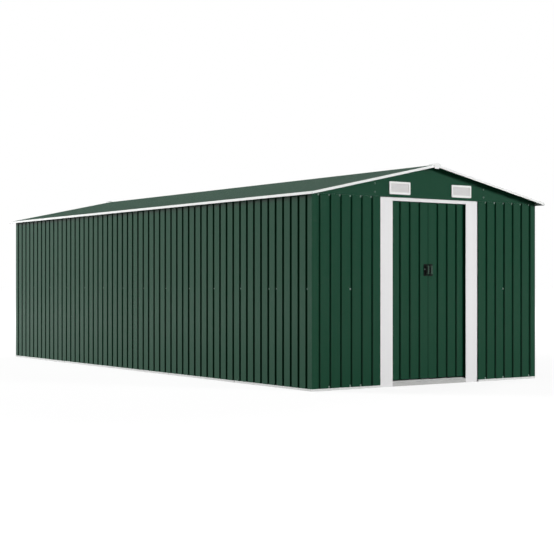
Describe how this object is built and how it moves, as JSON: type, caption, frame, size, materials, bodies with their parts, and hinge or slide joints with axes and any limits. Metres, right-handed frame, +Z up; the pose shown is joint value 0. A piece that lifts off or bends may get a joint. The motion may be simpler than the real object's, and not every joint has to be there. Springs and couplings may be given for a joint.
{
  "type": "metal garden shed",
  "caption": "Long green ribbed-steel storage shed with a low gable roof, white trims, louvred gable vents and a pair of sliding doors.",
  "frame": {"origin": "middle of the ground outline, on the ground under the base rails", "axes": "+X to the right seen from the front, front with the doors faces -Y, +Z up"},
  "size_m": [2.5354, 5.832, 1.82],
  "materials": {
    "green_sheet": "satin",
    "white_trim": "satin",
    "white_plastic": "matte",
    "zinc_rail": "satin",
    "black_plastic": "matte"
  },
  "bodies": {
    "shed": {"base_rail_left": "zinc_rail", "base_rail_right": "zinc_rail", "base_rail_rear": "zinc_rail", "base_rail_front": "zinc_rail", "door_sill": "zinc_rail", "floor_track": "zinc_rail", "left_wall_sheets": "green_sheet", "right_wall_sheets": "green_sheet", "rear_wall_sheets": "green_sheet", "front_wall_left": "green_sheet", "front_wall_right": "green_sheet", "corner_front_left": "green_sheet", "corner_front_right": "green_sheet", "corner_rear_left": "green_sheet", "corner_rear_right": "green_sheet", "left_wall_rail": "zinc_rail", "right_wall_rail": "zinc_rail", "rear_wall_rail": "zinc_rail", "front_wall_rails": "zinc_rail", "left_top_rail": "zinc_rail", "right_top_rail": "zinc_rail", "rear_top_rail": "zinc_rail", "door_track": "zinc_rail", "front_gable": "green_sheet", "rear_gable": "green_sheet", "left_roof_sheets": "green_sheet", "right_roof_sheets": "green_sheet", "roof_purlins": "zinc_rail", "ridge_beam": "zinc_rail", "ridge_cap": "green_sheet", "left_eave_trim": "white_trim", "right_eave_trim": "white_trim", "front_gable_trims": "white_trim", "rear_gable_trims": "white_trim", "ridge_end_caps": "white_plastic", "front_vents": "white_plastic", "rear_vents": "white_plastic", "left_jamb": "white_trim", "right_jamb": "white_trim", "door_header": "white_trim"},
    "left_door": {"left_door_sheet": "green_sheet", "left_door_braces": "zinc_rail", "left_door_runners": "black_plastic", "left_door_handle": "black_plastic"},
    "right_door": {"right_door_sheet": "green_sheet", "right_door_braces": "zinc_rail", "right_door_runners": "black_plastic", "right_door_handle": "black_plastic"}
  },
  "joints": [
    {"name": "left_door_slide", "type": "slide", "parent": "shed", "child": "left_door", "axis": [-1, 0, 0], "range_m": [0, 0.345]},
    {"name": "right_door_slide", "type": "slide", "parent": "shed", "child": "right_door", "axis": [1, 0, 0], "range_m": [0, 0.345]}
  ]
}
